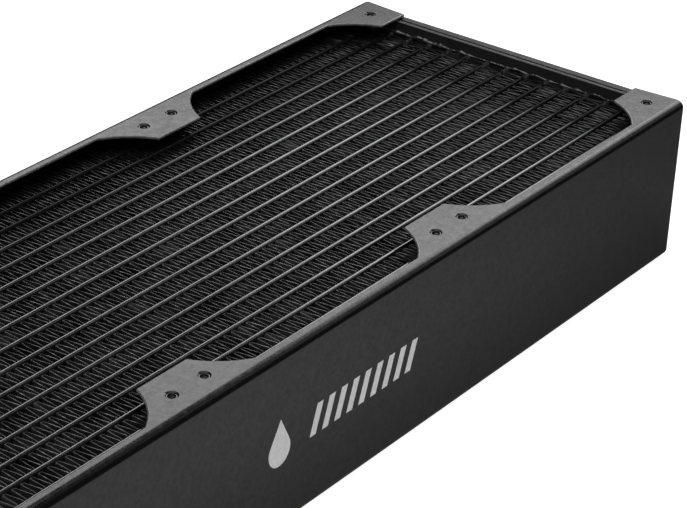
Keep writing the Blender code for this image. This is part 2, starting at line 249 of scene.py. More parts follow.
def arc(center, radius, start, end, steps):
    """Points in a plane along an arc, with its angles in degrees."""
    angles = [math.radians(start + (end - start) * i / steps) for i in range(steps + 1)]
    return [(center[0] + radius * math.cos(a), center[1] + radius * math.sin(a)) for a in angles]


def circle(radius, steps):
    """Points round a circle about the origin."""
    return arc((0, 0), radius, 0, 360 - 360 / steps, steps - 1)


# The corners of a section across X: its (y, z) sides and the angle at which the arc starts
QUARTERS = ((1, 1, 0), (-1, 1, 90), (-1, -1, 180), (1, -1, 270))


def rounded_ring(x, half_y, half_z, radius, steps=8):
    """Points of a rounded rectangle across X, centred on the middle of the thickness."""
    middle_z = (CAD_LOW.z + CAD_HIGH.z) / 2
    ring = []
    for side_y, side_z, start in QUARTERS:
        center = (side_y * (half_y - radius), side_z * (half_z - radius))
        ring += [(x, y, middle_z + z) for y, z in arc(center, radius, start, start + 90, steps)]
    return ring


def turned(profile_at, steps):
    """A ring of sections about Z. A section is a closed list of (radius, height) points."""
    rings = []
    for step in range(steps):
        angle = 2 * math.pi * step / steps
        rings.append([(r * math.cos(angle), r * math.sin(angle), h) for r, h in profile_at(angle)])
    return skin(rings, wrap=True)


def thread_profile(radius, low, high, pitch, depth, angle, per_pitch=6):
    """Section points of a screw thread from a low height to a high one, at an angle round it."""
    count = max(2, round((high - low) / pitch * per_pitch))
    points = []
    for i in range(count + 1):
        height = low + (high - low) * i / count
        phase = (height / pitch - angle / (2 * math.pi)) % 1
        fade = min(1, (height - low) / pitch, (high - height) / pitch)
        points.append((radius + depth * (1 - abs(2 * phase - 1)) * max(0, fade), height))
    return points


# Materials


def grey(value):
    return (value, value, value)


def map_range(tree, value, start, end, low, high):
    """A number that goes from low to high while the value goes from start to end."""
    node = tree.nodes.new("ShaderNodeMapRange")
    node.inputs["From Min"].default_value = start
    node.inputs["From Max"].default_value = end
    node.inputs["To Min"].default_value = low
    node.inputs["To Max"].default_value = high
    tree.links.new(value, node.inputs["Value"])
    return node.outputs["Result"]


def combine(tree, operation, one, other):
    node = tree.nodes.new("ShaderNodeMath")
    node.operation = operation
    tree.links.new(one, node.inputs[0])
    tree.links.new(other, node.inputs[1])
    return node.outputs["Value"]


class Nodes:
    """Builds a material's node tree on its Principled shader."""

    def __init__(self, name, color, roughness, metallic=0.0, ior=1.5):
        self.material = bpy.data.materials.new(name)
        self.material.use_nodes = True
        self.tree = self.material.node_tree
        self.shader = self.tree.nodes["Principled BSDF"]
        self.shader.inputs["Base Color"].default_value = (*color, 1)
        self.shader.inputs["Roughness"].default_value = roughness
        self.shader.inputs["Metallic"].default_value = metallic
        self.shader.inputs["IOR"].default_value = ior
        self.place = self.tree.nodes.new("ShaderNodeTexCoord").outputs["Object"]
        self.bumped = None

    def noise(self, scale, detail, stretch=None):
        node = self.tree.nodes.new("ShaderNodeTexNoise")
        node.inputs["Scale"].default_value = scale
        node.inputs["Detail"].default_value = detail
        source = self.place
        if stretch:
            mapping = self.tree.nodes.new("ShaderNodeMapping")
            mapping.inputs["Scale"].default_value = stretch
            self.tree.links.new(self.place, mapping.inputs["Vector"])
            source = mapping.outputs["Vector"]
        self.tree.links.new(source, node.inputs["Vector"])
        return node.outputs["Fac"]

    def attribute(self, name):
        node = self.tree.nodes.new("ShaderNodeAttribute")
        node.attribute_name = name
        return node.outputs["Fac"]

    def spread(self, value, low, high, start=0.3, end=0.7):
        """Maps the middle of a noise to a range of numbers."""
        return map_range(self.tree, value, start, end, low, high)

    def ramp(self, axis, start, end, low, high):
        """A number that changes from low to high between two places along an axis of the object."""
        axes = self.tree.nodes.new("ShaderNodeSeparateXYZ")
        self.tree.links.new(self.place, axes.inputs["Vector"])
        return map_range(self.tree, axes.outputs[axis], start, end, low, high)

    def product(self, first, *others):
        result = first
        for other in others:
            result = combine(self.tree, "MULTIPLY", result, other)
        return result

    def vary_color(self, value, low, high):
        node = self.tree.nodes.new("ShaderNodeMix")
        node.data_type = "RGBA"
        node.inputs["A"].default_value = (*low, 1)
        node.inputs["B"].default_value = (*high, 1)
        self.tree.links.new(value, node.inputs["Factor"])
        self.tree.links.new(node.outputs["Result"], self.shader.inputs["Base Color"])

    def mottle(self, noise, low, high):
        """Varies the colour with the middle of a noise."""
        self.vary_color(self.spread(noise, 0, 1), low, high)

    def vary_roughness(self, value):
        self.tree.links.new(value, self.shader.inputs["Roughness"])

    def vary_gloss(self, value):
        self.tree.links.new(value, self.shader.inputs["Specular IOR Level"])

    def fade(self, value):
        self.tree.links.new(value, self.shader.inputs["Alpha"])

    def bump(self, value, distance):
        node = self.tree.nodes.new("ShaderNodeBump")
        node.inputs["Strength"].default_value = 1
        node.inputs["Distance"].default_value = distance
        self.tree.links.new(value, node.inputs["Height"])
        if self.bumped:
            self.tree.links.new(self.bumped, node.inputs["Normal"])
        self.bumped = node.outputs["Normal"]
        self.tree.links.new(self.bumped, self.shader.inputs["Normal"])


def grained_paint(
    name, color, roughness, grain=0.02 * MM, grain_scale=1400, ior=1.5, edge_highlight_color=None
):
    """Black paint with a fine orange-peel grain, a slow ripple and uneven gloss.

    With an edge colour, faces whose edge attribute is 1 get a patchy painted highlight in that
    colour.
    """
    nodes = Nodes(name, color, roughness, ior=ior)
    if edge_highlight_color:
        # A painted highlight on the rounded edges, lighter in patches
        patchy_highlight = nodes.spread(nodes.noise(500, detail=3), 0.55, 1, start=0.35, end=0.6)
        nodes.vary_color(nodes.product(nodes.attribute("edge"), patchy_highlight), color, edge_highlight_color)
    else:
        nodes.mottle(nodes.noise(60, detail=3), [c * 0.8 for c in color], [c * 1.25 for c in color])
    polish = nodes.noise(350, detail=4)
    nodes.vary_roughness(nodes.spread(polish, roughness - 0.05, roughness + 0.05))
    nodes.vary_gloss(nodes.spread(nodes.noise(750, detail=3), 0.4, 0.6))
    nodes.bump(nodes.noise(grain_scale, detail=2), grain)
    nodes.bump(nodes.noise(180, detail=1), 0.012 * MM)
    return nodes.material


def core_paint(name, color, roughness, core_ends, cloud_and_shade_tones, ior=1.5, dull_ends=False):
    """Thin, cloudy paint over soldered tube or foil, with a ripple along its length.

    Its colour darkens towards the back side and the return end: painted shade, where the back panel
    and the return header plate shade the core. With dull ends its gloss also fades, towards the back
    side, towards both header plates and, slightly, from the port end to the return end.
    """
    nodes = Nodes(name, color, roughness, ior=ior)
    low_x, high_x = core_ends
    # Cloudy paint, times ramps that paint shade towards the back side and the return header plate
    cover_and_shade = nodes.product(
        nodes.spread(nodes.noise(90, detail=3), 0, 1),
        nodes.ramp("Y", 18 * MM, 56 * MM, 1, 0),
        nodes.ramp("X", high_x - 60 * MM, high_x - 12 * MM, 1, 0.4),
    )
    # The first tone is the darkest: thin paint, and the painted shade at its deepest
    thin, thick = cloud_and_shade_tones
    nodes.vary_color(cover_and_shade, [c * thin for c in color], [c * thick for c in color])
    polish = nodes.noise(300, detail=2)
    nodes.vary_roughness(nodes.spread(polish, roughness * 0.6, roughness * 1.7))
    if dull_ends:
        fade_start = 74 * MM
        fade_end = 25 * MM
        dullest = 0.012
        nodes.vary_gloss(nodes.product(
            nodes.ramp("X", low_x + fade_end, low_x + fade_start, dullest, 1),
            nodes.ramp("X", high_x - fade_start, high_x - fade_end, 1, dullest),
            nodes.ramp("Y", 22 * MM, 52 * MM, 0.5, 0.02),
            nodes.ramp("X", -110 * MM, 170 * MM, 1.25, 0.84),
        ))
    nodes.bump(nodes.noise(420, detail=3, stretch=(1, 0.6, 0.6)), 0.02 * MM)
    nodes.bump(nodes.noise(1600, detail=1), 0.012 * MM)
    return nodes.material


def turned_metal(name, color, roughness):
    """Bare or plated metal with a fine grain and a slight stain."""
    nodes = Nodes(name, color, roughness, metallic=1.0)
    stain = nodes.noise(220, detail=4)
    nodes.mottle(stain, [c * 0.82 for c in color], [min(1, c * 1.1) for c in color])
    polish = nodes.noise(900, detail=3)
    nodes.vary_roughness(nodes.spread(polish, roughness - 0.07, roughness + 0.1))
    nodes.bump(nodes.noise(2600, detail=2), 0.01 * MM)
    return nodes.material


def printed_ink():
    nodes = Nodes("printed_ink", grey(0.62), 0.55)
    nodes.mottle(nodes.noise(700, detail=4), grey(0.57), grey(0.67))
    nodes.bump(nodes.noise(2500, detail=2), 0.008 * MM)
    return nodes.material


def soft_rubber():
    nodes = Nodes("seal_rubber", grey(0.013), 0.62)
    nodes.vary_roughness(nodes.spread(nodes.noise(800, detail=3), 0.52, 0.75))
    nodes.bump(nodes.noise(2200, detail=2), 0.015 * MM)
    return nodes.material


def pale_floor():
    """A translucent white table lit from below, so that the object casts hardly any shadow."""
    nodes = Nodes("pale_floor", grey(0.5), 0.7)
    nodes.mottle(nodes.noise(3, detail=3), grey(0.48), grey(0.52))
    nodes.shader.inputs["Emission Color"].default_value = (1, 1, 1, 1)
    nodes.shader.inputs["Emission Strength"].default_value = 0.95
    return nodes.material


def table_shade():
    """A painted shadow: a dark film, as thick as its shade attribute says."""
    nodes = Nodes("table_shade", grey(0.02), 0.9)
    nodes.vary_color(nodes.noise(3, detail=3), grey(0.018), grey(0.022))
    nodes.fade(nodes.attribute("shade"))
    return nodes.material


# Side panels


def screw_positions_x(panel_low, panel_high):
    middle = (panel_low + panel_high) / 2
    for bay in range(BAY_COUNT):
        bay_x = middle + (bay - (BAY_COUNT - 1) / 2) * FAN_PITCH
        yield bay_x - FAN_HOLE_SPACING / 2
        yield bay_x + FAN_HOLE_SPACING / 2


def tab_flank(tip_x, direction, run, steps=14):
    """Plan points (x, distance in from the side) of a tab's flank, which bows into the tab."""
    tip = Vector((tip_x, TAB_DEPTH))
    root = Vector((tip_x + direction * run, FLANGE_WIDTH))
    chord = root - tip
    inward = Vector((-direction * abs(chord.y), -abs(chord.x))).normalized()
    points = []
    for i in range(steps + 1):
        along = i / steps
        points.append(tip + chord * along + inward * 4 * along * (1 - along) * TAB_ARC_BULGE)
    return points


def window_outlines(holes):
    """What is cut from the flanges between one tab and the next, in plan."""
    corner = (CORNER_TIP_PAST_HOLE, CORNER_ARC_RUN)
    between = (TAB_TIP_PAST_HOLE, TAB_ARC_RUN)
    for bay in range(BAY_COUNT):
        low_past, low_run = corner if bay == 0 else between
        high_past, high_run = corner if bay == BAY_COUNT - 1 else between
        low_flank = tab_flank(holes[2 * bay] + low_past, 1, low_run)
        high_flank = tab_flank(holes[2 * bay + 1] - high_past, -1, high_run)
        clear = TAB_DEPTH + MM
        mouth = [Vector((high_flank[0].x, clear)), Vector((low_flank[0].x, clear))]
        yield low_flank + high_flank[::-1] + mouth


def end_outlines(low_x, high_x):
    """The thin wedges that slant the ends of the corner tabs, in plan."""
    clear = TAB_DEPTH + MM
    slant = END_SLANT * (clear - BEND_RADIUS) / (TAB_DEPTH - BEND_RADIUS)
    for end_x, outward in ((low_x, -1), (high_x, 1)):
        yield [
            Vector((end_x, BEND_RADIUS)),
            Vector((end_x - outward * slant, clear)),
            Vector((end_x + outward * MM, clear)),
            Vector((end_x + outward * MM, BEND_RADIUS)),
        ]


def channel_profile(height):
    """The folded sheet's section as (distance in from the side face, height)."""
    inner = BEND_RADIUS - SHEET
    low = (BEND_RADIUS, BEND_RADIUS)
    high = (BEND_RADIUS, height - BEND_RADIUS)
    outside = arc(high, BEND_RADIUS, 90, 180, 16) + arc(low, BEND_RADIUS, 180, 270, 16)
    inside = arc(low, inner, 270, 180, 10) + arc(high, inner, 180, 90, 10)
    top = [(TAB_DEPTH, height - SHEET), (TAB_DEPTH, height)]
    bottom = [(TAB_DEPTH, 0), (TAB_DEPTH, SHEET)]
    return top + outside + bottom + inside


def drill_shape(x, y, height):
    """A round cutter through both flanges, with a rolled rim at each face."""
    roll_steps = 5
    mouth = [(HOLE_MOUTH_RADIUS, -MM)]
    for i in range(roll_steps + 1):
        angle = math.radians(HOLE_ROLL_ANGLE * i / roll_steps)
        radius = HOLE_MOUTH_RADIUS - HOLE_ROLL * math.sin(angle)
        mouth.append((radius, HOLE_ROLL * (1 - math.cos(angle))))
    mouth.append((SCREW_RADIUS, 0.5 * MM))
    stations = mouth + [(radius, height - z) for radius, z in reversed(mouth)]
    return skin([[(x + px, y + py, z) for px, py in circle(radius, 40)] for radius, z in stations])


def side_panel(node, side, paint):
    """One folded panel. The side is -1 at the front and 1 at the back."""
    low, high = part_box(node)
    face_y = high.y if side > 0 else low.y
    height = high.z - low.z

    def plan(outline, z):
        return [(point.x, face_y - side * point.y, z) for point in outline]

    section = channel_profile(height)
    rings = [[(x, face_y - side * inset, z) for inset, z in section] for x in (low.x, high.x)]
    name = node + "_painted"
    panel = link(name, solid(name, [skin(rings)]))
    holes = list(screw_positions_x(low.x, high.x))
    outlines = list(window_outlines(holes)) + list(end_outlines(low.x, high.x))
    windows = [skin([plan(outline, -MM), plan(outline, height + MM)]) for outline in outlines]
    hole_y = side * FAN_HOLE_SPACING / 2
    drills = [drill_shape(x, hole_y, height) for x in holes]
    cut(panel, [solid("windows", windows)])
    # The marked rounded edges get the panel paint's painted highlight
    round_edges(panel, EDGE_ROUND, segments=4, mark=True)
    cut(panel, [solid("drills", drills)])
    flatten_shading(panel)
    finish_piece(panel, paint, stands_for=[node])
    return holes, hole_y


def screw_collars(name, holes, hole_y, height, material):
    """The drawn and tapped collar under each screw hole, on both flanges."""
    outer = SCREW_RADIUS + 0.75 * MM
    crest = SCREW_RADIUS - 0.12 * MM
    depth = 0.2 * MM
    face = 0.45 * MM
    bottom = -SHEET - COLLAR_DEPTH

    def section(angle):
        bore = thread_profile(crest, bottom, -face, SCREW_PITCH, depth, angle, per_pitch=5)
        return bore + [
            (SCREW_RADIUS + 0.1 * MM, -face),
            (outer, -SHEET - 0.01 * MM),
            (outer, bottom),
        ]

    points, faces = turned(section, 28)
    shapes = []
    for x in holes:
        for z, turn in ((height, 1), (0, -1)):
            moved = [(x + px, hole_y + py * turn, z + pz * turn) for px, py, pz in points]
            shapes.append((moved, faces))
    collars = link(name, solid(name, shapes, sharp=30))
    finish_piece(collars, material)


# Core


def tube_outline(half_y, half_z, edge=TUBE_EDGE, steps=6):
    """The (y, z) points of a flat tube's section, whose rims are rounded and a little drawn out."""
    straight_y = half_y - edge
    straight_z = half_z - edge * TUBE_CREST_RISE
    outline = []
    for side_y, side_z, start in QUARTERS:
        for y, z in arc((0, 0), edge, start, start + 90, steps):
            outline.append((side_y * straight_y + y, side_z * straight_z + z * TUBE_CREST_RISE))
    return outline


def flat_tube(node, paint):
    low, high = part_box(node)
    (_, y, z), (_, half_y, half_z) = halves(node)
    outer = tube_outline(half_y, half_z)
    inner = tube_outline(half_y - TUBE_WALL, half_z - TUBE_WALL, edge=TUBE_EDGE - TUBE_WALL)
    rings = []
    for x, outline in ((low.x, outer), (high.x, outer), (high.x, inner), (low.x, inner)):
        rings.append([(x, y + dy, z + dz) for dy, dz in outline])
    name = node + "_painted"
    tube = link(name, solid(name, [skin(rings, wrap=True)]))
    finish_piece(tube, paint, stands_for=[node])


def rounded_path(corners, bend, steps=2):
    """A polyline through corners whose bends are rounded, with its unit normals."""
    line = [corners[0]]
    for before, corner, after in zip(corners, corners[1:], corners[2:]):
        into = (before - corner).normalized() * bend + corner
        out = (after - corner).normalized() * bend + corner
        for i in range(steps + 1):
            t = i / steps
            line.append(into * (1 - t) ** 2 + corner * 2 * t * (1 - t) + out * t * t)
    line.append(corners[-1])
    normals = []
    for i in range(len(line)):
        along = line[min(i + 1, len(line) - 1)] - line[max(i - 1, 0)]
        normals.append(Vector((-along.y, along.x)).normalized())
    return line, normals


def fold_leans(folds, rng):
    """How far each fold's upper edge, lower edge and upper tip lean along X.

    Folds lean a little all over and more in places, and some tips are bent right over. The folds by
    the headers are crushed.
    """
    drift_span = 6
    dent_count = 5
    dent_reach = 3
    crush_reach = 6
    drifts = [rng.gauss(0, 0.2 * MM) for _ in range(folds // drift_span + 3)]
    dents = [(rng.uniform(0, folds), rng.uniform(-0.45, 0.45) * MM) for _ in range(dent_count)]
    leans = []
    for i in range(folds + 1):
        share, base = math.modf(i / drift_span)
        drift = drifts[int(base)] * (1 - share) + drifts[int(base) + 1] * share
        dent = sum(depth * math.exp(-(((i - place) / dent_reach) ** 2)) for place, depth in dents)
        near_end = math.exp(-min(i, folds - i) / crush_reach)
        crush = near_end * rng.uniform(-1.3, 1.3) * MM
        upper = drift + dent + crush + rng.gauss(0, 0.16 * MM)
        hook = rng.gauss(0, 0.05)
        if rng.random() < 0.03 + 0.7 * near_end + 0.5 * abs(dent) / MM:
            hook = rng.choice((-1, 1)) * rng.uniform(0.4, 1 + near_end)
        leans.append((upper, drift + rng.gauss(0, 0.07 * MM), hook))
    return leans


def fin_strip(node, low_y, high_y, top_z, bottom_z, paint, rng):
    """A corrugated strip at its real pitch, whose flat crests lie sunk along the tubes."""
    low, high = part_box(node)
    folds = round((high.x - low.x) / (FIN_PERIOD / 2))
    step = (high.x - low.x) / folds
    crest_y = (high_y - FIN_FOIL / 2, low_y + FIN_FOIL / 2)
    first = rng.randint(0, 1)
    corners = [Vector((low.x, crest_y[first]))]
    for i in range(folds + 1):
        middle = low.x + i * step + rng.gauss(0, 0.05 * MM)
        y = crest_y[(i + first) % 2]
        if i > 0:
            corners.append(Vector((middle - FIN_CREST / 2, y)))
        if i < folds:
            corners.append(Vector((middle + FIN_CREST / 2, y)))
    corners.append(Vector((high.x, crest_y[(folds + first) % 2])))
    leans = fold_leans(folds, rng)
    line, normals = rounded_path(corners, FIN_BEND)
    rings = []
    for point, normal in zip(line, normals):
        fold = min(max((point.x - low.x) / step, 0), folds - 1e-6)
        base = int(fold)
        share = fold - base
        top_lean, low_lean, hook = (
            leans[base][k] * (1 - share) + leans[base + 1][k] * share for k in range(3)
        )
        to_wall = min(point.y - low_y, high_y - point.y)
        sunk = FIN_SINK * max(0, 1 - to_wall / FIN_SINK_REACH)
        drop = sunk + FIN_TIP * (1 - 0.85 * min(abs(hook), 1))
        levels = (
            (bottom_z + sunk, low_lean),
            (bottom_z + FIN_LIP + sunk, 0),
            (top_z - FIN_LIP - sunk, 0),
            (top_z - drop, top_lean),
            (top_z - sunk, top_lean + FIN_TIP * hook),
        )
        side = normal * FIN_FOIL / 2
        near = [(point.x - side.x + lean, point.y - side.y, z) for z, lean in levels]
        far = [(point.x + side.x + lean, point.y + side.y, z) for z, lean in reversed(levels)]
        rings.append(near + far)
    name = node + "_folded"
    strip = link(name, solid(name, [skin(rings)], sharp=50))
    finish_piece(strip, paint, stands_for=[node])


def header_plate(node, inner_x, outer_x, tubes, paint):
    """A plate with a slot for each tube's end."""
    corner = 2.3 * MM
    _, (_, half_y, half_z) = halves(node)
    rings = [rounded_ring(x, half_y, half_z, corner) for x in (inner_x, outer_x)]
    name = node + "_painted"
    plate = link(name, solid(name, [skin(rings)]))
    slots = []
    for tube in tubes:
        (_, y, z), (_, tube_half_y, tube_half_z) = halves(tube)
        outline = tube_outline(tube_half_y, tube_half_z)
        ends = (min(inner_x, outer_x) - MM, max(inner_x, outer_x) + MM)
        slots.append(skin([[(x, y + dy, z + dz) for dy, dz in outline] for x in ends]))
    cut(plate, [solid("slots", slots)])
    round_edges(plate, 0.2 * MM)
    finish_piece(plate, paint, stands_for=[node])


def solder_bead(name, wall_x, inward, z, arch, low_y, high_y, pitch, first_y, material, rng):
    """The lumpy, broken line of solder on a header plate, which arches over the fin strips."""
    steps = 520
    sides = 10
    span = 3.1 * MM
    spans = int((high_y - low_y) / span) + 2
    strips = 20
    lump_count = 70
    wander = [rng.uniform(-1, 1) for _ in range(spans)]
    bulk = [rng.choice((0.06, 0.5, 0.8, 1)) for _ in range(spans)]
    rises = [rng.uniform(0.2, 1.3) for _ in range(strips)]
    lumps = [
        (rng.uniform(low_y, high_y), rng.uniform(0.3, 1.1) * MM, rng.uniform(0.1, 0.5))
        for _ in range(lump_count)
    ]
    rings = []
    for i in range(steps + 1):
        y = low_y + (high_y - low_y) * i / steps
        share, base = math.modf((y - low_y) / span)
        base = int(base)
        ease = share * share * (3 - 2 * share)
        drift = wander[base] * (1 - ease) + wander[base + 1] * ease
        amount = bulk[base] * (1 - ease) + bulk[base + 1] * ease
        wave = 0.5 - 0.5 * math.cos(2 * math.pi * (y - first_y) / pitch)
        wave *= rises[int((y - first_y) // pitch) + 2]
        swell = sum(rise * math.exp(-(((y - place) / reach) ** 2)) for place, reach, rise in lumps)
        center_x = wall_x + inward * (0.4 + 0.8 * wave + 0.7 * drift) * MM
        center_z = z + arch * (wave + 0.45 * drift)
        size = (0.15 + 0.55 * amount + min(swell, 0.6)) * MM
        ring = []
        for k in range(sides):
            angle = 2 * math.pi * k / sides
            z_out = 0.8 * size * math.sin(angle)
            ring.append((center_x + size * math.cos(angle), y, center_z + z_out))
        rings.append(ring)
    bead = link(name, solid(name, [skin(rings)], sharp=60))
    finish_piece(bead, material)


def solder_fillets(name, wall_x, inward, z, up, tubes_y, material, rng):
    """The lumpy sleeves of solder that run out from a header plate over the tube rims."""
    steps = 22
    sides = 14
    depth = 1.05 * MM
    center_z = z - up * depth
    shapes = []
    for tube_y in tubes_y:
        reach = rng.uniform(9, 17) * MM
        rings = []
        for i in range(steps + 1):
            t = i / steps
            x = wall_x + inward * reach * t
            thick = (0.85 + 0.4 * (1 - t) ** 1.6) * MM
            lump = rng.uniform(-0.1, 0.2) * (1 - t) * MM
            sway = rng.uniform(-0.15, 0.15) * MM
            ring = []
            for k in range(sides):
                angle = 2 * math.pi * k / sides
                size = thick + lump + rng.uniform(0, 0.12) * (1 - t) * MM
                y_out = sway + size * math.cos(angle)
                ring.append((x, tube_y + y_out, center_z + size * math.sin(angle)))
            rings.append(ring)
        shapes.append(skin(rings))
    fillets = link(name, solid(name, shapes, sharp=60))
    finish_piece(fillets, material)


# Tanks


def domed_rings(end_x, outward, half_y, half_z, corner, edge, steps=8):
    """Rings of a pan's closed end, from its flat face out and back along the rounded edge."""
    rings = []
    for i in range(steps + 1):
        angle = math.radians(90 * i / steps)
        inset = edge * (1 - math.sin(angle))
        x = end_x - outward * edge * (1 - math.cos(angle))
        rings.append(rounded_ring(x, half_y - inset, half_z - inset, corner - inset))
    return rings


def return_tank(node, paint):
    """A shallow pan whose open edge is set in, which leaves a groove by the header plate."""
    low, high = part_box(node)
    _, (_, half_y, half_z) = halves(node)
    rim = 0.4 * MM
    inset = 1.3 * MM
    wall = 0.9 * MM
    corner = 3 * MM
    edge = 0.9 * MM
    bend = 0.15 * MM
    rings = domed_rings(high.x, 1, half_y, half_z, corner, edge)
    rings += [
        rounded_ring(low.x + rim + bend, half_y, half_z, corner),
        rounded_ring(low.x + rim, half_y - bend, half_z - bend, corner - bend),
        rounded_ring(low.x + rim, half_y - inset, half_z - inset, 2 * MM),
        rounded_ring(low.x, half_y - inset, half_z - inset, 2 * MM),
        rounded_ring(low.x, half_y - inset - wall, half_z - inset - wall, 1.5 * MM),
        rounded_ring(high.x - wall, half_y - inset - wall, half_z - inset - wall, 1.5 * MM),
    ]
    name = node + "_painted"
    tank = link(name, solid(name, [skin(rings)]))
    finish_piece(tank, paint, stands_for=[node])


def port_tank(node, ports, paint):
    """A deep pan with a flared rim and a hole for each port bush."""
    low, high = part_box(node)
    _, (_, rim_half_y, rim_half_z) = halves(node)
    half_y = rim_half_y - 1.5 * MM
    half_z = rim_half_z - 1.9 * MM
    rim = 1.2 * MM
    wall = 1.5 * MM
    corner = 9 * MM
    edge = 5 * MM
    drill_reach = 9 * MM
    inside = domed_rings(low.x + wall, -1, half_y - wall, half_z - wall, corner - wall, edge - wall)
    rings = domed_rings(low.x, -1, half_y, half_z, corner, edge)
    rings += [
        rounded_ring(high.x - rim - 1.2 * MM, half_y, half_z, corner),
        rounded_ring(high.x - rim - 0.35 * MM, half_y + 0.35 * MM, half_z + 0.35 * MM, corner),
        rounded_ring(high.x - rim, half_y + 1.1 * MM, half_z + 1.1 * MM, corner),
        rounded_ring(high.x - rim, rim_half_y - 0.3 * MM, rim_half_z - 0.3 * MM, corner),
        rounded_ring(high.x - rim + 0.3 * MM, rim_half_y, rim_half_z, corner),
        rounded_ring(high.x, rim_half_y, rim_half_z, corner),
        rounded_ring(high.x, half_y - wall, half_z - wall, corner - wall),
    ]
    name = node + "_painted"
    tank = link(name, solid(name, [skin(rings + inside[::-1])]))
    holes = []
    for place, turn, radius in ports:
        drill_ends = (-drill_reach, drill_reach)
        drill = skin([[(x, y, h) for x, y in circle(radius, 60)] for h in drill_ends])
        holes.append(placed(drill, place, turn))
    cut(tank, [solid("port_holes", holes)])
    finish_piece(tank, paint, stands_for=[node])


# Ports and the drain plug


def port_frame(node, facing):
    """The middle of a port bush's mouth, and the turn that takes +Z to the way it faces."""
    low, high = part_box(node)
    middle = (low + high) / 2
    mouth = middle.copy()
    for axis in range(3):
        if facing[axis] > 0:
            mouth[axis] = high[axis]
        elif facing[axis] < 0:
            mouth[axis] = low[axis]
    return mouth, facing.to_track_quat("Z", "Y")


def port_bush(node, facing, lip, brass, paint):
    """A threaded brass bush, with a coat of the tank's paint over its lip."""
    low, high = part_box(node)
    place, turn = port_frame(node, facing)
    length = abs((high - low).dot(facing))
    lip_radius = max(high - low) / 2
    barrel = lip_radius - BUSH_BARREL_INSET
    chamfer = 0.3 * MM
    coat = 0.08 * MM
    coat_start = BUSH_SEAT_RADIUS + chamfer + 0.15 * MM

    def section(angle):
        bore = thread_profile(
            BUSH_BORE_RADIUS,
            -length,
            -BUSH_SEAT_DEPTH,
            THREAD_PITCH,
            THREAD_DEPTH,
            angle,
            per_pitch=8,
        )
        return bore + [
            (BUSH_SEAT_RADIUS, -BUSH_SEAT_DEPTH),
            (BUSH_SEAT_RADIUS, -chamfer - coat / 2),
            (BUSH_SEAT_RADIUS + chamfer, -coat / 2),
            (lip_radius - chamfer, -coat / 2),
            (lip_radius - coat / 2, -chamfer),
            (lip_radius - coat / 2, -lip),
            (barrel, -lip),
            (barrel, -length),
        ]

    coated = [
        (coat_start, -coat),
        (coat_start, 0),
        (lip_radius - chamfer, 0),
        (lip_radius, -chamfer),
        (lip_radius, -lip),
        (lip_radius - coat, -lip),
        (lip_radius - coat, -chamfer),
        (lip_radius - chamfer, -coat),
    ]
    name = node + "_turned"
    shape = placed(turned(section, TURNED_STEPS), place, turn)
    bush = link(name, solid(name, [shape], sharp=30))
    finish_piece(bush, brass, stands_for=[node])
    name = node + "_lip_painted"
    shape = placed(turned(lambda angle: coated, TURNED_STEPS), place, turn)
    lip_coat = link(name, solid(name, [shape], sharp=30))
    finish_piece(lip_coat, paint)
    return place, turn, barrel + 0.05 * MM


def drain_plug(node, place, turn, metal):
    """A plug with a ribbed head, a hexagon socket and a threaded shank."""
    head_radius = 9.5 * MM
    shank = 5.6 * MM
    base = 0.3 * MM
    top = base + 2.1 * MM
    length = 8 * MM
    ribs = 48
    rib_depth = 0.22 * MM
    socket_across = 6 * MM
    socket_depth = 4.5 * MM

    def section(angle):
        grip = rib_depth * abs(math.sin(angle * ribs / 2))
        groove = thread_profile(
            shank - 0.7 * MM,
            -length + 0.8 * MM,
            -1.6 * MM,
            THREAD_PITCH,
            0.65 * MM,
            angle,
            per_pitch=8,
        )
        rim = head_radius - grip
        return [(0, -length), (shank - 1.4 * MM, -length)] + groove + [
            (shank - 0.9 * MM, -1.2 * MM),
            (shank - 0.9 * MM, base - 0.2 * MM),
            (shank, base),
            (rim - 0.3 * MM, base),
            (rim, base + 0.3 * MM),
            (rim, top - 0.7 * MM),
            (head_radius - 0.75 * MM, top - 0.1 * MM),
            (head_radius - 1.3 * MM, top),
            (4.4 * MM, top),
            (0, top),
        ]

    name = node + "_turned"
    shape = placed(turned(section, 2 * TURNED_STEPS), place, turn)
    plug = link(name, solid(name, [shape], sharp=30, merge=1e-7))
    hexagon = circle(socket_across / math.sqrt(3), 6)
    floor = top - socket_depth
    socket = skin([[(x, y, h) for x, y in hexagon] for h in (floor, top + MM)])
    cut(plug, [solid("socket", [placed(socket, place, turn)])])
    finish_piece(plug, metal, body="drain_plug", stands_for=[node])


def seal_ring(node, place, turn, rubber):
    low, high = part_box(node)
    section_radius = sorted(high - low)[0] / 2
    ring_radius = sorted(high - low)[-1] / 2 - section_radius
    section = arc((ring_radius, -BUSH_SEAT_DEPTH / 2), section_radius, 0, 337.5, 15)
    name = node + "_moulded"
    shape = placed(turned(lambda angle: section, TURNED_STEPS), place, turn)
    ring = link(name, solid(name, [shape], sharp=80))
    finish_piece(ring, rubber, body="seal_ring", stands_for=[node])


# Printed device


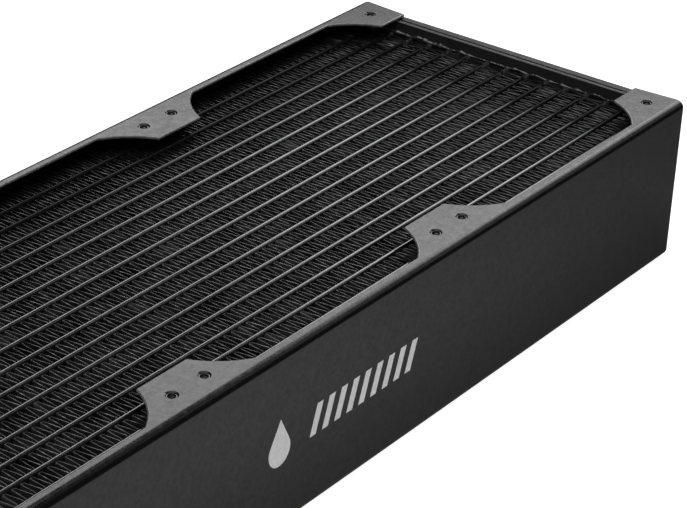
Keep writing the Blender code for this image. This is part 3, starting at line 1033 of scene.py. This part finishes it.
def printed_device(middle_x, face_y, middle_z, ink):
    """A generic droplet and a row of leaning bars, like fins, in thin ink on the front panel."""
    thickness = 0.02 * MM

    def printed(points):
        ends = (face_y + thickness, face_y - thickness)
        return skin([[(x, y, z) for x, z in points] for y in ends])

    height = 17 * MM
    radius = 5.6 * MM
    drop_x = middle_x - 36 * MM
    drop_z = middle_z - height / 2 + radius
    tip_z = middle_z + height / 2
    reach = tip_z - drop_z
    tangent = math.degrees(math.asin(radius / reach))
    bowl = arc((drop_x, drop_z), radius, tangent, -180 - tangent, 40)
    shapes = [printed(bowl + [(drop_x, tip_z)])]

    bar_width = 3.2 * MM
    bar_pitch = 6.6 * MM
    bar_half_height = 5.5 * MM
    lean = 3.5 * MM
    low_z = middle_z - bar_half_height
    high_z = middle_z + bar_half_height
    for i in range(9):
        x = middle_x - 20 * MM + i * bar_pitch
        far_x = x + bar_width
        foot = [(x, low_z), (far_x, low_z)]
        head = [(far_x + lean, high_z), (x + lean, high_z)]
        shapes.append(printed(foot + head))
    mark = link("printed_device", solid("printed_device", shapes))
    finish_piece(mark, ink)


# Stage


def make_camera(place, azimuth, elevation, roll, lens):
    data = bpy.data.cameras.new("camera")
    data.lens = lens
    data.sensor_width = 36
    data.clip_start = 0.05
    data.clip_end = 30
    camera = link("camera", data)
    a = math.radians(azimuth)
    e = math.radians(elevation)
    forward = Vector((-math.sin(a) * math.cos(e), math.cos(a) * math.cos(e), -math.sin(e)))
    aim = forward.to_track_quat("-Z", "Y").to_matrix()
    turn = aim @ Matrix.Rotation(math.radians(roll), 3, "Z")
    camera.matrix_world = Matrix.Translation(place) @ turn.to_4x4()
    bpy.context.scene.camera = camera


# What the flanges and tubes mirror in the photograph's view, and the broad light from above:
# each light's place, width, height and power. All of them face the origin.
SOFTBOXES = {
    "back_softbox": ((1.333, 0.709, 0.98), 1.31, 0.7, 7.6),
    "end_softbox": ((1.5075, -0.079, 0.98), 0.7, 0.7, 3.9),
    "side_softbox": ((1.429, -0.728, 0.817), 0.831, 0.831, 0.9),
    "overhead_softbox": ((-0.1, -0.1, 2.0), 2.4, 2.4, 22),
}


def soft_light(name, place, width, height, power):
    data = bpy.data.lights.new(name, "AREA")
    data.shape = "RECTANGLE"
    data.size = width
    data.size_y = height
    data.energy = power
    light = link(name, data)
    light.visible_camera = False
    aim = (-Vector(place)).to_track_quat("-Z", "Y")
    light.matrix_world = Matrix.Translation(place) @ aim.to_matrix().to_4x4()


def make_world(above, behind, below, below_far):
    """A dim surround, brighter towards -X, whose lower part is the table that the sides reflect."""
    world = bpy.data.worlds.new("surround")
    bpy.context.scene.world = world
    world.use_nodes = True
    tree = world.node_tree
    background = tree.nodes["Background"]
    coordinates = tree.nodes.new("ShaderNodeTexCoord")
    split = tree.nodes.new("ShaderNodeSeparateXYZ")
    tree.links.new(coordinates.outputs["Generated"], split.inputs["Vector"])

    def ramp(axis, start, end, low, high):
        return map_range(tree, split.outputs[axis], start, end, low, high)

    # The table as seen at a steep angle, which is darker far off towards +X
    steep = ramp("Z", -0.4, -0.3, 1, 0)
    near = combine(tree, "MULTIPLY", steep, ramp("X", 0.7, 0.84, below, below_far))
    # The table behind the object, which goes on nearly to the horizon
    shallow = ramp("Z", -0.14, -0.04, 1, 0)
    back = combine(tree, "MULTIPLY", shallow, ramp("Y", -0.05, 0.25, 0, below))
    table = combine(tree, "MAXIMUM", near, back)
    strength = combine(tree, "MAXIMUM", table, ramp("X", -0.4, 0.3, behind, above))
    background.inputs["Color"].default_value = (1, 1, 1, 1)
    tree.links.new(strength, background.inputs["Strength"])


def level_corners(low, high, z):
    """The four corners of a level rectangle."""
    return [(low.x, low.y, z), (high.x, low.y, z), (high.x, high.y, z), (low.x, high.y, z)]


def make_floor():
    """The table top, just below the object's own underside."""
    reach = Vector((TABLE_REACH, TABLE_REACH))
    corners = level_corners(-reach, reach, TABLE_Z)
    floor = link("floor", solid("floor", [(corners, [(0, 1, 2, 3)])]))
    floor.data.materials.append(pale_floor())
    floor.visible_glossy = False


def make_shade():
    """The soft shade that the object casts on the table, as its own glossy sides see it."""
    fringe = Vector((SHADE_FRINGE, SHADE_FRINGE, 0))
    points = level_corners(CAD_LOW - fringe, CAD_HIGH + fringe, SHADE_Z)
    points += level_corners(CAD_LOW, CAD_HIGH, SHADE_Z)
    faces = [(i, (i + 1) % 4, 4 + (i + 1) % 4, 4 + i) for i in range(4)] + [(4, 5, 6, 7)]
    shade = link("table_shade", solid("table_shade", [(points, faces)]))
    darkness = shade.data.attributes.new("shade", "FLOAT", "POINT")
    darkness.data.foreach_set("value", [0] * 4 + [SHADE_DARKNESS] * 4)
    shade.data.materials.append(table_shade())
    shade.visible_camera = False
    shade.visible_diffuse = False
    shade.visible_shadow = False


def build_stage():
    """The camera that was solved from the photograph, the table, the surround and the lights."""
    middle_x = (CAD_LOW.x + CAD_HIGH.x) / 2
    camera_place = Vector((middle_x - 0.61029, -0.49208, CAD_HIGH.z + 0.411504))
    make_camera(camera_place, azimuth=-56.09, elevation=27.352, roll=3.393, lens=144.489)
    make_floor()
    make_shade()
    make_world(above=0.02, behind=0.15, below=0.5, below_far=0.11)
    for name, settings in SOFTBOXES.items():
        soft_light(name, *settings)


# The object


def build_core(materials, rng):
    tubes = sorted(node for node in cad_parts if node.startswith("flat_tube"))
    fins = sorted(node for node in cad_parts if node.startswith("fin_strip"))
    for node in tubes:
        flat_tube(node, materials["tube"])
    upper = [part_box(node) for node in tubes if "upper" in node]
    lower = [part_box(node) for node in tubes if "lower" in node]
    top_z = max(high.z for _, high in upper) - FIN_BELOW_TUBES
    bottom_z = min(low.z for low, _ in lower) + FIN_BELOW_TUBES
    upper.sort(key=lambda box: box[0].y)
    walls_low = [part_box(fins[0])[0].y] + [high.y for _, high in upper]
    walls_high = [low.y for low, _ in upper] + [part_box(fins[-1])[1].y]
    for node, low_y, high_y in zip(fins, walls_low, walls_high):
        fin_strip(node, low_y, high_y, top_z, bottom_z, materials["fin"], rng)

    return_low, return_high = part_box("header_plate_return")
    port_low, port_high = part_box("header_plate_port")
    header_plate("header_plate_return", return_low.x, return_high.x, tubes, materials["header"])
    header_plate("header_plate_port", port_high.x, port_low.x, tubes, materials["header"])
    pitch = upper[1][0].y - upper[0][0].y
    first_y = (upper[0][0].y + upper[0][1].y) / 2
    ends = (return_low.y + 2 * MM, return_high.y - 2 * MM)
    tubes_y = [(low.y + high.y) / 2 for low, high in upper]
    for name, wall_x, inward in (("return", return_low.x, -1), ("port", port_high.x, 1)):
        for face, z, up in (("upper", top_z, 1), ("lower", bottom_z, -1)):
            solder_bead(
                f"solder_bead_{name}_{face}",
                wall_x, inward, z, up * 0.9 * MM, *ends, pitch, first_y, materials["solder"], rng,
            )
            solder_fillets(
                f"solder_fillets_{name}_{face}",
                wall_x, inward, z, up, tubes_y, materials["header"], rng,
            )


def build_object():
    rng = random.Random(SEED)
    core_ends = (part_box("header_plate_port")[1].x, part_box("header_plate_return")[0].x)
    materials = {
        "panel": grained_paint(
            "panel_powder_paint",
            (0.004, 0.004, 0.0042),
            0.22,
            grain=0.025 * MM,
            # The lighter edge colour is a painted highlight on the panels' rounded edges
            edge_highlight_color=grey(0.2),
        ),
        "header": grained_paint("header_paint", (0.028, 0.028, 0.029), 0.55, grain_scale=1100),
        "tank": grained_paint("tank_powder_paint", (0.012, 0.012, 0.0125), 0.5),
        "tube": core_paint(
            "tube_paint",
            (0.011, 0.011, 0.0115),
            0.13,
            core_ends,
            (0.7, 1.5),
            ior=2.1,
            dull_ends=True,
        ),
        "fin": core_paint("fin_paint", (0.042, 0.042, 0.043), 0.38, core_ends, (0.3, 2.0)),
        "solder": grained_paint(
            "solder_paint", (0.05, 0.05, 0.051), 0.22, grain=0.05 * MM, grain_scale=700, ior=1.9
        ),
        "collar": turned_metal("tapped_collar", grey(0.2), 0.25),
        "brass": turned_metal("port_brass", (0.66, 0.47, 0.22), 0.26),
        "plug": turned_metal("plug_plating", (0.06, 0.06, 0.065), 0.3),
    }
    height = CAD_HIGH.z
    for node, side in (("side_panel_front", -1), ("side_panel_back", 1)):
        holes, hole_y = side_panel(node, side, materials["panel"])
        name = node.replace("side_panel", "screw_collars")
        screw_collars(name, holes, hole_y, height, materials["collar"])
    build_core(materials, rng)
    return_tank("return_tank", materials["tank"])

    up = Vector((0, 0, 1))
    out = Vector((-1, 0, 0))
    ports = [
        port_bush("inlet_port_bush", up, 1.3 * MM, materials["brass"], materials["tank"]),
        port_bush("outlet_port_bush", up, 1.3 * MM, materials["brass"], materials["tank"]),
        port_bush("drain_port_bush", out, 0.9 * MM, materials["brass"], materials["tank"]),
    ]
    port_tank("port_tank", ports, materials["tank"])
    place, turn, _ = ports[-1]
    drain_plug("drain_plug", place, turn, materials["plug"])
    seal_ring("drain_plug_o_ring", place, turn, soft_rubber())

    # The divider is hidden inside the port tank, so it keeps its CAD shape
    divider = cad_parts["tank_divider"]
    divider.data.materials.clear()
    divider.data.materials.append(materials["header"])

    low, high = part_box("side_panel_front")
    printed_device((low.x + high.x) / 2, low.y, (low.z + high.z) / 2, printed_ink())


bpy.context.scene.view_settings.view_transform = "Standard"
build_stage()
build_object()
